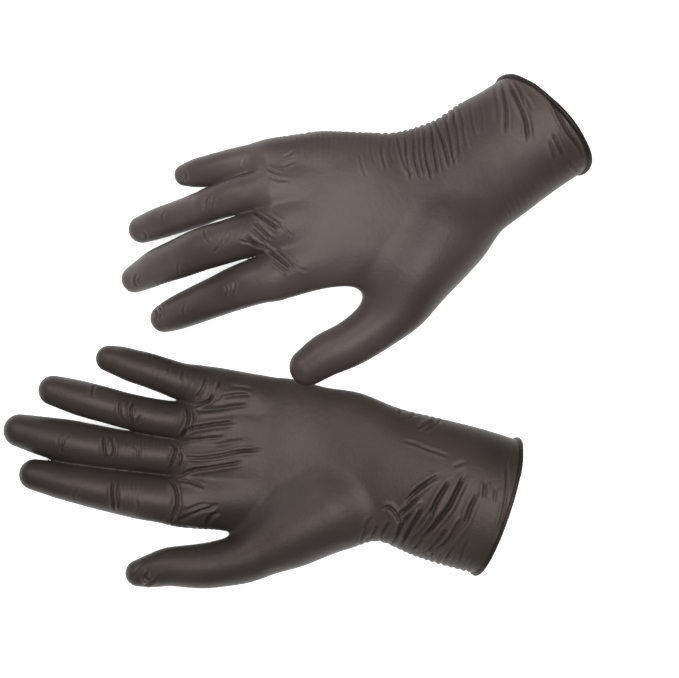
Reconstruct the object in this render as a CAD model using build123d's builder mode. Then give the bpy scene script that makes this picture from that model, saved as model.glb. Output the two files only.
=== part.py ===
"""A pair of black nitrile disposable gloves that keep the shape of the hands they were worn on.

Each glove is one dipped film with a rolled bead round the mouth of its cuff.  The film is written as
separate solids that meet at the lines where a worn glove folds: the wrist, and the root crease and the
middle crease of every finger stall.  The right glove stands on its fingertips and its cuff with its back
up, and the left glove lies on its back with its palm up.

Frame: +Z up from the table, +X from the fingertips towards the cuffs, origin under the middle of the pair.
Millimetres and degrees.
"""
import os
from dataclasses import dataclass, replace
from math import cos, radians, sin

from build123d import *

FILM = 0.15            # thickness of the dipped film (6 mil)
FOLD_GAP = 0.35        # free gap between two solids at a fold line
BEAD_RADIUS = 1.3      # the rolled bead is 2.6 mm thick
BEAD_BITE = 0.4        # how far the film's edge runs into its bead
RIM_POINTS = 16        # points that the bead's path takes from the edge of the cuff


@dataclass
class Section:
    """An oval cross-section of the hand or the cuff, upright, seen along the hand."""
    x: float
    y: float
    z: float
    heading: float          # the way the hand runs here, degrees from +X towards +Y
    half_width: float
    half_height: float

    def plane(self):
        along = Vector(cos(radians(self.heading)), sin(radians(self.heading)), 0)
        across = Vector(-along.Y, along.X, 0)
        return Plane(Vector(self.x, self.y, self.z), x_dir=across, z_dir=along)


@dataclass
class Ring:
    """A round cross-section of a finger stall: its centre and its radius."""
    x: float
    y: float
    z: float
    radius: float

    @property
    def centre(self):
        return Vector(self.x, self.y, self.z)


@dataclass
class Digit:
    """A finger stall: one ring inside the hand, then the root crease, the middle crease and the
    centre of the rounded tip."""
    inside: Ring
    root: Ring
    middle: Ring
    tip: Ring


@dataclass
class Glove:
    digits: dict
    hand: list              # sections from the web of the fingers to the wrist
    cuff: list              # sections from the wrist to the cuff's mouth
    mouth_heading: float    # the way the mouth faces, degrees from +X towards +Y
    mouth_lean: float       # how far the mouth's plane leans, top edge outwards, degrees


RIGHT = Glove(
    digits={
        "thumb": Digit(Ring(60, 33, 35.5, 8.3), Ring(35, 1.5, 32, 10.6), Ring(22, -7.0, 31, 10.0),
                       Ring(5.9, -16.6, 29.6, 8.4)),
        "index": Digit(Ring(8, 34, 41, 9.0), Ring(-17.5, 23.8, 39.5, 10.2), Ring(-32, 18.5, 32.5, 9.4),
                       Ring(-60.9, 7.0, 6.4, 6.3)),
        "middle": Digit(Ring(3, 54, 41.5, 9.4), Ring(-26.0, 44.3, 42, 9.7), Ring(-40.5, 39.5, 36, 9.6),
                        Ring(-75.4, 24.9, 6.3, 6.2)),
        "ring": Digit(Ring(0, 71, 41, 8.3), Ring(-30.3, 62.4, 40, 8.1), Ring(-44.5, 57.9, 33.5, 7.7),
                      Ring(-72.1, 48.2, 6.2, 6.1)),
        "little": Digit(Ring(4, 81, 40, 7.0), Ring(-20.5, 81.2, 34.5, 7.2), Ring(-31.5, 78.8, 32, 7.4),
                        Ring(-51.3, 74.4, 23, 5.1)),
    },
    hand=[
        Section(-14.5, 52.4, 40.5, 5, 33.0, 7.0),
        Section(-10.5, 52.8, 40.5, 5, 36.6, 10.0),
        Section(16.6, 57.5, 41, 5, 37.6, 13.5),
        Section(50.0, 54.5, 38, 17, 42.5, 15.0),
        Section(76.5, 69.2, 32, 30, 33.0, 18.0),
    ],
    cuff=[
        Section(76.5, 69.2, 32, 30, 33.0, 18.0),
        Section(92.0, 80.6, 25.5, 30, 31.8, 22.0),
        Section(105.9, 90.4, 24.5, 30, 30.6, 22.6),
        Section(138.0, 111.5, 25, 30, 30.6, 23.5),
    ],
    mouth_heading=43,
    mouth_lean=22,
)

LEFT = Glove(
    digits={
        "thumb": Digit(Ring(2, -90, 15.5, 9.5), Ring(-36, -108.8, 16, 10.8), Ring(-52, -110.2, 15, 9.7),
                       Ring(-73.0, -113.0, 14, 6.3)),
        "index": Digit(Ring(-34, -78.5, 14, 9.3), Ring(-63.5, -79.2, 15.5, 10.1),
                       Ring(-86, -75.2, 15.5, 9.2), Ring(-122.2, -67.0, 15.5, 6.9)),
        "middle": Digit(Ring(-34, -60, 13.5, 9.3), Ring(-64, -57.5, 13, 8.9), Ring(-88, -54.8, 13, 9.6),
                        Ring(-128.8, -46.3, 14, 7.6)),
        "ring": Digit(Ring(-34, -42.5, 15.5, 8.5), Ring(-63.5, -40.0, 16, 8.0), Ring(-80, -37.2, 16, 8.2),
                      Ring(-113.3, -28.0, 15.5, 6.8)),
        "little": Digit(Ring(-32, -28, 14, 7.4), Ring(-60.5, -20.8, 15, 7.9), Ring(-71.5, -17.2, 15, 7.6),
                        Ring(-87.8, -12.5, 14.5, 5.9)),
    },
    hand=[
        Section(-54.5, -53.6, 14, -8.7, 34.0, 7.0),
        Section(-50.5, -54.2, 14, -8.7, 37.5, 10.5),
        Section(-28.8, -57.3, 13.7, -8.7, 39.0, 13.5),
        Section(4.0, -65.5, 15, -8.7, 43.5, 14.5),
        Section(34.1, -65.9, 18.5, -8.7, 34.0, 17.5),
    ],
    cuff=[
        Section(34.1, -65.9, 18.5, -8.7, 34.0, 17.5),
        Section(53.6, -70.0, 21, -8.7, 33.6, 20.0),
        Section(74.5, -76.0, 23.8, -8.7, 34.4, 22.2),
        Section(114.0, -86.0, 25.3, -8.7, 33.4, 23.3),
    ],
    mouth_heading=-18,
    mouth_lean=10,
)

MOUTHS = {"right": Vector(115.2, 97.0, 25), "left": Vector(95.2, -81.7, 24.8)}
GLOVES = {"right": RIGHT, "left": LEFT}


def direction(start, end):
    return (end.centre - start.centre).normalized()


def crease_direction(before, crease, after):
    """The normal of the plane that halves the bend of a stall at one of its creases."""
    return (direction(before, crease) + direction(crease, after)).normalized()


def loft_tube(start, start_along, end, end_along, inset, mode=Mode.ADD, start_shift=0.0, end_shift=0.0):
    """Lofts between two rings, each lying square to its own direction.  A shift moves a ring along its
    direction and keeps it on the same taper."""
    taper = (end.radius - start.radius) / (end.centre - start.centre).length
    with BuildSketch(Plane(start.centre + start_along * start_shift, z_dir=start_along)) as first:
        Circle(start.radius + taper * start_shift - inset)
    with BuildSketch(Plane(end.centre + end_along * end_shift, z_dir=end_along)) as last:
        Circle(end.radius + taper * end_shift - inset)
    loft([first.sketch, last.sketch], mode=mode)


def build_stall_base(digit, label):
    """The length of a stall between its root crease and its middle crease: an open tube."""
    at_root = crease_direction(digit.inside, digit.root, digit.middle)
    at_middle = crease_direction(digit.root, digit.middle, digit.tip)
    with BuildPart() as stall:
        loft_tube(digit.root, at_root, digit.middle, at_middle, 0.0,
                  start_shift=FOLD_GAP / 2, end_shift=-FOLD_GAP / 2)
        loft_tube(digit.root, at_root, digit.middle, at_middle, FILM, Mode.SUBTRACT,
                  start_shift=FOLD_GAP / 2, end_shift=-FOLD_GAP / 2)
    stall.part.label = label
    return stall


def build_stall_tip(digit, label):
    """The length of a stall beyond its middle crease, closed by a round end."""
    at_middle = crease_direction(digit.root, digit.middle, digit.tip)
    at_tip = direction(digit.middle, digit.tip)
    with BuildPart() as stall:
        loft_tube(digit.middle, at_middle, digit.tip, at_tip, 0.0, start_shift=FOLD_GAP / 2)
        with Locations(digit.tip.centre):
            Sphere(digit.tip.radius)
        loft_tube(digit.middle, at_middle, digit.tip, at_tip, FILM, Mode.SUBTRACT,
                  start_shift=FOLD_GAP / 2)
        with Locations(digit.tip.centre):
            Sphere(digit.tip.radius - FILM, mode=Mode.SUBTRACT)
    stall.part.label = label
    return stall


def shifted(sections, number, forward):
    """A section moved along the hand, and kept on the taper between it and the section next to it."""
    section = sections[number]
    beside = sections[number + 1] if number == 0 else sections[number - 1]
    gap = (Vector(beside.x, beside.y, beside.z) - Vector(section.x, section.y, section.z)).length
    gap = gap if number == 0 else -gap
    return replace(
        section,
        x=section.x + forward * cos(radians(section.heading)),
        y=section.y + forward * sin(radians(section.heading)),
        z=section.z + forward * (beside.z - section.z) / gap,
        half_width=section.half_width + forward * (beside.half_width - section.half_width) / gap,
        half_height=section.half_height + forward * (beside.half_height - section.half_height) / gap,
    )


def loft_sections(sections, inset, shifts, mode=Mode.ADD):
    """Lofts through oval sections.  shifts moves a section along the hand, by its number."""
    sketches = []
    for number in range(len(sections)):
        section = shifted(sections, number, shifts.get(number, 0.0))
        with BuildSketch(section.plane()) as sketch:
            Ellipse(section.half_width - inset, section.half_height - inset)
        sketches.append(sketch.sketch)
    loft(sketches, ruled=True, mode=mode)


def build_hand(glove, label):
    """The film over the palm and the back of the hand, with a short sleeve for each stall."""
    wrist = len(glove.hand) - 1
    with BuildPart() as hand:
        loft_sections(glove.hand, 0.0, {wrist: -FOLD_GAP / 2})
        for digit in glove.digits.values():
            loft_tube(digit.inside, direction(digit.inside, digit.root), digit.root,
                      crease_direction(digit.inside, digit.root, digit.middle), 0.0,
                      end_shift=-FOLD_GAP / 2)
        loft_sections(glove.hand, FILM, {0: FILM, wrist: -FOLD_GAP / 2}, mode=Mode.SUBTRACT)
        for digit in glove.digits.values():
            loft_tube(digit.inside, direction(digit.inside, digit.root), digit.root,
                      crease_direction(digit.inside, digit.root, digit.middle), FILM, Mode.SUBTRACT,
                      end_shift=-FOLD_GAP / 2)
    hand.part.label = label
    return hand


def mouth_plane(glove, side):
    """The plane of the cuff's mouth, facing out of the glove."""
    heading = radians(glove.mouth_heading)
    lean = radians(glove.mouth_lean)
    along = Vector(cos(heading), sin(heading), 0)
    across = Vector(-along.Y, along.X, 0)
    outward = along * cos(lean) - Vector(0, 0, 1) * sin(lean)
    return Plane(MOUTHS[side], x_dir=across, z_dir=outward)


def build_cuff(glove, side, label):
    """The film round the wrist, cut off at the mouth by a leaning plane."""
    with BuildPart() as cuff:
        loft_sections(glove.cuff, 0.0, {0: FOLD_GAP / 2})
        loft_sections(glove.cuff, FILM, {0: FOLD_GAP / 2}, mode=Mode.SUBTRACT)
        split(bisect_by=mouth_plane(glove, side), keep=Keep.BOTTOM)
    cuff.part.label = label
    return cuff


def build_bead(cuff, glove, side, label):
    """The rolled bead: a round cord of film along the cuff's edge."""
    plane = mouth_plane(glove, side)
    end_faces = [face for face in cuff.faces() if len(face.wires()) == 2]
    rim = ShapeList(end_faces).sort_by(Axis(plane.origin, plane.z_dir))[-1].outer_wire()
    forward = plane.z_dir * (BEAD_RADIUS - BEAD_BITE)
    points = [rim.position_at(step / RIM_POINTS) + forward for step in range(RIM_POINTS)]
    with BuildPart() as bead:
        with BuildLine() as path:
            Spline(*points, periodic=True)
        with BuildSketch(Plane(path.line @ 0, z_dir=path.line % 0)):
            Circle(BEAD_RADIUS)
        sweep(path=path.line)
    bead.part.label = label
    return bead


def write(piece):
    export_step(piece.part, f"parts/{piece.part.label}.step")


os.makedirs("parts", exist_ok=True)
for side, glove in GLOVES.items():
    write(build_hand(glove, f"{side}_palm_and_back"))
    cuff_film = build_cuff(glove, side, f"{side}_cuff")
    write(cuff_film)
    write(build_bead(cuff_film, glove, side, f"{side}_cuff_bead"))
    for name, digit in glove.digits.items():
        write(build_stall_base(digit, f"{side}_{name}_base"))
        write(build_stall_tip(digit, f"{side}_{name}_tip"))
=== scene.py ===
import math

import bpy
import numpy as np
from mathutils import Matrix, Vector


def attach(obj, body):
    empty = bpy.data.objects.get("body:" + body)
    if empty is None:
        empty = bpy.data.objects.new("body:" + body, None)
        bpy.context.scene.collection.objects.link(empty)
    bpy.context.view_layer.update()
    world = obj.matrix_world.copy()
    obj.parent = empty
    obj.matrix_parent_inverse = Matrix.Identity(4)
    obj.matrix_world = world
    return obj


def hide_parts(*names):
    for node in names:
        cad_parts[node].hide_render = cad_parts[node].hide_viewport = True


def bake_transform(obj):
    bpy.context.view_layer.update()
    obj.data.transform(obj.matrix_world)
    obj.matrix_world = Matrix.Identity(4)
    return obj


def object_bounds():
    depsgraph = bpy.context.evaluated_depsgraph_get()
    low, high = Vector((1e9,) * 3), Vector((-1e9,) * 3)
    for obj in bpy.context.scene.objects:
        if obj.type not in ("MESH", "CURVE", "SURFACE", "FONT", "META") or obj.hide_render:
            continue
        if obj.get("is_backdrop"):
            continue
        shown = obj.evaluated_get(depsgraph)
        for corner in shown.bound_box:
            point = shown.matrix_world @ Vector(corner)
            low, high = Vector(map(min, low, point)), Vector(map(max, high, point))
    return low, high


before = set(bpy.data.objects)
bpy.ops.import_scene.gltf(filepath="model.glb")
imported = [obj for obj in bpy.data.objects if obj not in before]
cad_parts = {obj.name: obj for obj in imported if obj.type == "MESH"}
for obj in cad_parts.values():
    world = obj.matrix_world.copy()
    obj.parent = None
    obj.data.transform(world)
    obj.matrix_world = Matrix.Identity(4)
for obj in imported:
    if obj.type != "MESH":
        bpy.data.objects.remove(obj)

size_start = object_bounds()
CELL = 0.65        # mm, the grid that the film's surface is taken from
FILM = 0.2                           # mm, shown thickness of the film
MM = 0.001
EYE = (20.7, -3.3, 1220.0)           # mm, where the camera stands
PLAN_HEIGHT = 20                     # mm, the height at which plan positions appear where they are
STALL_SLACK = 0.3                    # mm, how much wider a stall's film is than it appears
STALL_SOFTNESS = 1.4                 # mm, how softly neighbouring stalls join
HAND_SOFTNESS = 9.0                  # mm, how softly the stalls join the hand
FOLD_STRENGTH = 1.2                  # how much deeper every crease is than its own height says
CUT_BEYOND = 0.7                     # mm, how far past the mouth's plane the film runs, inside the bead
BEAD_SIDES = 14                      # faces round the bead
TABLE_GAP = 0.6                      # mm, film lower than this flattens instead of going under the table
BEAD_RADIUS = dict(right=1.35, left=1.15)  # mm
BEAD_SHIFT = 0.5                     # mm, how far outside the mouth's plane the bead lies
WRIST_CUT = -13.0                    # mm from the wrist's middle, where the cuff's piece starts
BASE_LEAD = 1.4                      # mm, how far before its bending zone a stall's base piece starts
TIP_LEAD = 3.0                       # mm, how far before its bending zone a stall's tip piece may start
NEAR_MIDDLE = 90                     # mm, no point of a stall is farther from its middle crease
NEAR_ROOT = 95                       # mm, or from its root crease
FLOOR_Z = -0.0004                    # m
SENSOR_WIDTH = 36                    # mm
VIEW_DISTANCE = 1.2                  # m
VIEW_WIDTH = 0.31913                 # m, how wide the view is at that distance

# ----------------------------------------------------------------------------
# The shape, in millimetres in the row's frame.  Plan positions are as they appear from EYE.
# A digit runs from its tip into the hand: (x, y, z, radius).
# A hand runs from the web to past the cuff's mouth:
# (x, y, z, heading in degrees, half width, half height, squareness of the oval).
# mouth is the middle of the cuff's mouth, its heading and how far it leans, and wrist is the wrist's middle
# and heading.  web is how softly the thumb joins the hand: from x and to x, and the width at each.
# ----------------------------------------------------------------------------
RIGHT = dict(
    digits=dict(
        index=[
            (-61.7, 6.4, 6.6, 6.3), (-56.0, 8.8, 11, 7.6), (-49.6, 11.5, 16.5, 8.3),
            (-38.3, 16.2, 27, 9.1), (-27.5, 20.7, 35, 10.0), (-17.5, 24.2, 39.3, 10.5),
            (-9, 27, 39.6, 9.8), (6, 33, 38.0, 7.5), (22, 40, 37.0, 4.0),
        ],
        middle=[
            (-75.4, 24.9, 6.3, 6.1), (-70, 27.8, 11, 7.3), (-64.6, 30.7, 16.5, 8.2),
            (-54.3, 34.8, 26, 9.1), (-43.9, 39.0, 34.5, 9.8), (-30.8, 43.0, 40.3, 9.9),
            (-19.5, 46.5, 41.8, 9.8), (-4, 51.6, 40.5, 8.0), (12, 56, 38, 4.0),
        ],
        ring=[
            (-72.1, 48.2, 6.2, 6.1), (-64, 51.2, 12.5, 7.0), (-54.8, 54.3, 20, 7.4),
            (-44.5, 58.0, 29, 7.7), (-39.2, 60.3, 33.5, 7.9), (-28.9, 63.7, 38.8, 8.4),
            (-18.1, 66.3, 40.8, 8.8), (-2, 70, 39.5, 7.5), (12, 73, 38, 4.0),
        ],
        little=[
            (-51.8, 73.8, 22.8, 5.0), (-46, 74.8, 26, 6.6), (-40.4, 75.8, 28.8, 7.2),
            (-30.8, 78.3, 32.5, 7.3), (-20.4, 80.6, 35, 7.4), (-8, 82.2, 36.8, 8.2), (8, 84, 37.5, 7.5),
            (22, 84, 37, 5.0),
        ],
        thumb=[
            (5.9, -16.4, 29.6, 8.5), (14.9, -10.5, 30.4, 9.9), (26.4, -5.1, 31.3, 10.6),
            (39.3, 3.7, 32.2, 11.5), (50.8, 14.1, 33, 13.2), (61.0, 28.5, 33.5, 14.2),
            (71.0, 43.0, 31.5, 14.6),
        ],
    ),
    hand=[
        (-10.5, 52.2, 41.0, 5, 35.4, 10.5, 2.5), (3, 53.9, 41.4, 5, 36.6, 12.3, 2.5),
        (16.6, 56.7, 41.3, 5, 38.2, 13.0, 2.5), (36, 58.3, 39.6, 8, 38.4, 14.0, 2.4),
        (57, 60.5, 36.2, 18, 37.4, 15.3, 2.3), (78.5, 71.9, 31.2, 29, 33.2, 18.2, 2.2),
        (92, 81.2, 26.6, 31, 32.6, 21.2, 2.15), (105.9, 90.5, 24.6, 34, 31.4, 22.6, 2.1),
        (132, 107.5, 25.0, 37, 31.2, 23.5, 2.1), (146, 118.0, 25.0, 37, 31.2, 23.5, 2.1),
    ],
    mouth=((115.5, 97.0, 25.0), 42, 22),
    wrist=((76.5, 69.2, 32), 30),
    web=(0, 30, 15.0, 14.0),
)
LEFT = dict(
    digits=dict(
        index=[
            (-122.6, -67.0, 15.0, 7.0), (-115, -68.7, 15.5, 7.8), (-107.6, -70.4, 15.7, 8.4),
            (-97, -72.5, 15.8, 9.2), (-86.7, -74.6, 15.6, 9.8), (-76, -76.6, 15.5, 10.4),
            (-68.4, -77.8, 15.5, 10.7), (-55.5, -79.2, 15.0, 10.7), (-38, -79, 14.0, 8.8),
            (-20, -77, 13.5, 5.0),
        ],
        middle=[
            (-129.5, -46.3, 14.0, 7.5), (-119, -48.8, 14, 8.9), (-107.6, -51.2, 13.8, 9.9),
            (-97, -53.2, 13.6, 9.9), (-86.7, -55.0, 13.4, 9.6), (-75.4, -56.4, 13.1, 9.2),
            (-64, -57.6, 13.0, 9.0), (-56.6, -58.5, 13.0, 9.0), (-38, -60, 13.2, 8.0),
            (-20, -61.6, 13.2, 5.0),
        ],
        ring=[
            (-113.8, -27.5, 15.5, 6.8), (-105, -30.0, 16, 7.7), (-97.1, -32.2, 16.2, 8.1),
            (-88, -34.6, 16.2, 8.1), (-80.6, -36.7, 16.2, 8.1), (-68, -39.5, 16, 8.2),
            (-55.7, -41.4, 15.2, 8.4), (-38, -43, 14, 7.8), (-20, -44.8, 13.5, 5.0),
        ],
        little=[
            (-87.7, -12.5, 14.5, 5.9), (-82, -14.0, 14.8, 6.9), (-76, -16.0, 15, 7.5),
            (-69.3, -17.9, 15.2, 7.8), (-60.5, -20.9, 15.2, 8.1), (-52.9, -23.5, 14.8, 8.4),
            (-38, -27, 14.2, 8.0), (-20, -30.5, 13.8, 5.5),
        ],
        thumb=[
            (-73.6, -113.3, 14.0, 6.1), (-66, -111.8, 14.8, 7.8), (-58.5, -110.2, 15.3, 8.9),
            (-44.9, -110.0, 16, 10.2), (-36, -108.9, 16.4, 10.7), (-24.2, -106.3, 16.8, 11.5),
            (-12, -100.5, 17, 12.8), (2, -93.5, 16.8, 14.2), (16, -86, 16.6, 14.8),
        ],
    ),
    hand=[
        (-49.5, -54.0, 14.0, -8.7, 35.6, 10.5, 2.5), (-41, -55.2, 13.9, -8.7, 37.5, 12.2, 2.5),
        (-32.5, -56.1, 13.8, -8.7, 38.3, 13.0, 2.5), (-8, -60.4, 14.5, -8.7, 41.3, 13.9, 2.4),
        (8, -63.8, 15.3, -8.7, 40.8, 14.4, 2.3), (25, -63.0, 17, -9, 37.3, 15.8, 2.3),
        (43.5, -66.9, 19.6, -10, 34.0, 18.4, 2.2), (63, -73.2, 22, -12, 35.4, 20.8, 2.15),
        (84, -79.0, 23.8, -13, 35.8, 22.2, 2.1), (112, -86.8, 25.4, -14, 34.8, 23.3, 2.1),
        (126, -90.3, 25.4, -14, 34.8, 23.3, 2.1),
    ],
    mouth=((93.6, -81.4, 24.8), -18, 13),
    wrist=((34.1, -65.9, 18.5), -8.7),
    web=(-34, -4, 3.5, 13.0),
)
# The middle of each stall's root crease and of its middle crease.
CREASES = dict(
    right=dict(
        thumb=((35, 1.5, 32), (22, -7.0, 31)),
        index=((-17.5, 23.8, 39.5), (-32, 18.5, 32.5)),
        middle=((-26, 44.3, 42), (-40.5, 39.5, 36)),
        ring=((-30.3, 62.4, 40), (-44.5, 57.9, 33.5)),
        little=((-20.5, 81.2, 34.5), (-31.5, 78.8, 32)),
    ),
    left=dict(
        thumb=((-36, -108.8, 16), (-52, -110.2, 15)),
        index=((-63.5, -79.2, 15.5), (-86, -75.2, 15.5)),
        middle=((-64, -57.5, 13), (-88, -54.8, 13)),
        ring=((-63.5, -40, 16), (-80, -37.2, 16)),
        little=((-60.5, -20.8, 15), (-71.5, -17.2, 15)),
    ),
)
# Where each stall bends, in mm: before and after its root crease, before and after its middle crease
ZONES = dict(
    right=dict(
        thumb=(6, 6, 6, 9),
        index=(6, 6.5, 7, 10),
        middle=(5, 7, 7, 10),
        ring=(3, 8, 6, 10),
        little=(0, 8, 4, 8),
    ),
    left=dict(
        thumb=(7, 6.5, 7, 9),
        index=(6.5, 8, 9, 10),
        middle=(7, 9, 9, 10),
        ring=(7, 6, 7, 10),
        little=(5, 4, 4.5, 8),
    ),
)


# ----------------------------------------------------------------------------
# Small maths
# ----------------------------------------------------------------------------
def unit(a):
    a = np.asarray(a, float)
    return a / np.linalg.norm(a)


def seen(x, y, z):
    """The true plan position of a point at height z that appears at x, y, and the scale there."""
    k = (EYE[2] - z) / (EYE[2] - PLAN_HEIGHT)
    return EYE[0] + (x - EYE[0]) * k, EYE[1] + (y - EYE[1]) * k, k


def in_place(glove):
    """A glove with its digits and its hand moved from where they appear to where they are."""
    digits = {}
    for name, stations in glove["digits"].items():
        digits[name] = []
        for x, y, z, radius in stations:
            true_x, true_y, k = seen(x, y, z)
            digits[name].append((true_x, true_y, z, radius * k + STALL_SLACK))
    hand = []
    for x, y, z, heading, half_width, half_height, squareness in glove["hand"]:
        true_x, true_y, k = seen(x, y, z)
        hand.append((true_x, true_y, z, heading, half_width * k, half_height, squareness))
    return {**glove, "digits": digits, "hand": hand}


GLOVES = dict(right=in_place(RIGHT), left=in_place(LEFT))


def smooth_rows(rows, per_span):
    """Catmull-Rom through rows of numbers."""
    rows = np.array(rows, float)
    ends = np.vstack([2 * rows[0] - rows[1], rows, 2 * rows[-1] - rows[-2]])
    out = []
    for i in range(1, len(ends) - 2):
        a, b, c, d = ends[i - 1], ends[i], ends[i + 1], ends[i + 2]
        for t in np.linspace(0, 1, per_span, endpoint=False):
            out.append(0.5 * (2 * b + (c - a) * t + (2 * a - 5 * b + 4 * c - d) * t * t
                              + (3 * b - a - 3 * c + d) * t ** 3))
    out.append(rows[-1])
    return np.array(out)


def smin(a, b, k):
    h = np.clip(1 - np.abs(a - b) / k, 0, 1)
    return np.minimum(a, b) - h * h * k / 4


def smoothstep(a, b, x):
    t = np.clip((x - a) / (b - a), 0, 1)
    return t * t * (3 - 2 * t)


def hashed(ix, iy, iz, seed):
    n = (ix * 374761393 + iy * 668265263 + iz * 2147483647 + seed * 1274126177) & 0xFFFFFFFF
    n = ((n ^ (n >> 13)) * 1274126177) & 0xFFFFFFFF
    n = (n ^ (n >> 16)) & 0xFFFFFFFF
    return n / 2147483648.0 - 1.0


def noise(p, scale, seed):
    """Value noise in -1..1 at points p, with features about as long as scale."""
    q = p / scale
    f = np.floor(q)
    i = f.astype(np.int64)
    t = q - f
    t = t * t * t * (t * (t * 6 - 15) + 10)
    total = np.zeros(len(p))
    for dx in (0, 1):
        for dy in (0, 1):
            for dz in (0, 1):
                step = (dx, dy, dz)
                w = np.ones(len(p))
                for axis in range(3):
                    w = w * (t[:, axis] if step[axis] else 1 - t[:, axis])
                total += w * hashed(i[:, 0] + dx, i[:, 1] + dy, i[:, 2] + dz, seed)
    return total


def fbm(p, scale, seed, octaves=3):
    total = np.zeros(len(p))
    for o in range(octaves):
        total += noise(p, scale / 2 ** o, seed + 17 * o) / 2 ** o
    return total / 1.6


# ----------------------------------------------------------------------------
# The film's surface: a distance field on a grid, and the surface where it is zero
# ----------------------------------------------------------------------------
def digit_line(stations):
    return smooth_rows(stations, 7)


def line_distance(line, x, y, z):
    """Distance to a tapered tube along a line."""
    best = np.full(x.shape, 1e6, np.float32)
    for a, b in zip(line, line[1:]):
        ab = b[:3] - a[:3]
        length = np.linalg.norm(ab)
        t = np.clip(((x - a[0]) * ab[0] + (y - a[1]) * ab[1] + (z - a[2]) * ab[2]) / length ** 2, 0, 1)
        d = np.sqrt((x - a[0] - t * ab[0]) ** 2 + (y - a[1] - t * ab[1]) ** 2 + (z - a[2] - t * ab[2]) ** 2)
        d = d - (a[3] + t * (b[3] - a[3]))
        best = np.minimum(best, d)
    return best


def hand_frame(sections, x, y):
    """For points in plan: the distance across the hand, the oval there, and how far before the first one."""
    rows = smooth_rows(sections, 8)
    h = np.radians(rows[:, 3])
    ahead = (x[..., None] - rows[:, 0]) * np.cos(h) + (y[..., None] - rows[:, 1]) * np.sin(h)
    passed = np.clip((ahead >= 0).sum(-1) - 1, 0, len(rows) - 2)
    s0 = np.take_along_axis(ahead, passed[..., None], -1)[..., 0]
    s1 = np.take_along_axis(ahead, passed[..., None] + 1, -1)[..., 0]
    t = np.clip(s0 / np.maximum(s0 - s1, 1e-6), -50, 50)
    inside = np.clip(t, 0, 1)
    row = rows[passed] * (1 - inside[..., None]) + rows[passed + 1] * inside[..., None]
    hh = np.radians(row[..., 3])
    across = -(x - row[..., 0]) * np.sin(hh) + (y - row[..., 1]) * np.cos(hh)
    before = np.where(ahead[..., 0] < 0, -ahead[..., 0], 0.0)
    return across, row, before


def hand_distance(sections, gx, gy, gz):
    """Distance, nearly, to the ovals of a hand and its cuff."""
    x2, y2 = np.meshgrid(gx, gy, indexing="ij")
    across, row, before = hand_frame(sections, x2, y2)
    u = np.abs(across)[..., None].astype(np.float32) + 1e-4
    v = np.abs(gz[None, None, :] - row[..., 2][..., None]).astype(np.float32) + 1e-4
    w = row[..., 4][..., None].astype(np.float32)
    h = row[..., 5][..., None].astype(np.float32)
    p = row[..., 6][..., None].astype(np.float32)
    a = (u / w) ** p
    b = (v / h) ** p
    g = (a + b) ** (1 / p)
    slope = np.sqrt((a / u) ** 2 + (b / v) ** 2) * g ** (1 - p)
    d = (g - 1) / np.maximum(slope, 1e-4)
    e = (before - 2.0)[..., None].astype(np.float32)
    return -smin(-d, -e, HAND_SOFTNESS)


def film_field(glove, gx, gy, gz):
    """The distance to a glove's smooth film at each point of a grid, below zero inside the glove."""
    hand = hand_distance(glove["hand"], gx, gy, gz)
    fingers = np.full(hand.shape, 60.0, np.float32)
    thumb = np.full(hand.shape, 60.0, np.float32)
    for name, stations in glove["digits"].items():
        line = digit_line(stations)
        pad = 16
        lo = (line[:, :3] - line[:, 3:]).min(0) - pad
        hi = (line[:, :3] + line[:, 3:]).max(0) + pad
        ix = np.where((gx > lo[0]) & (gx < hi[0]))[0]
        iy = np.where((gy > lo[1]) & (gy < hi[1]))[0]
        iz = np.where((gz > lo[2]) & (gz < hi[2]))[0]
        part = np.s_[ix[0]:ix[-1] + 1, iy[0]:iy[-1] + 1, iz[0]:iz[-1] + 1]
        x, y, z = np.meshgrid(gx[ix], gy[iy], gz[iz], indexing="ij")
        d = line_distance(line, x.astype(np.float32), y.astype(np.float32), z.astype(np.float32))
        if name == "thumb":
            thumb[part] = np.minimum(thumb[part], d)
        else:
            fingers[part] = smin(fingers[part], d, STALL_SOFTNESS)
    web = glove["web"]
    wide = (web[2] + (web[3] - web[2]) * smoothstep(web[0], web[1], gx))[:, None, None].astype(np.float32)
    return smin(smin(fingers, hand, HAND_SOFTNESS), thumb, wide)


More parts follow.
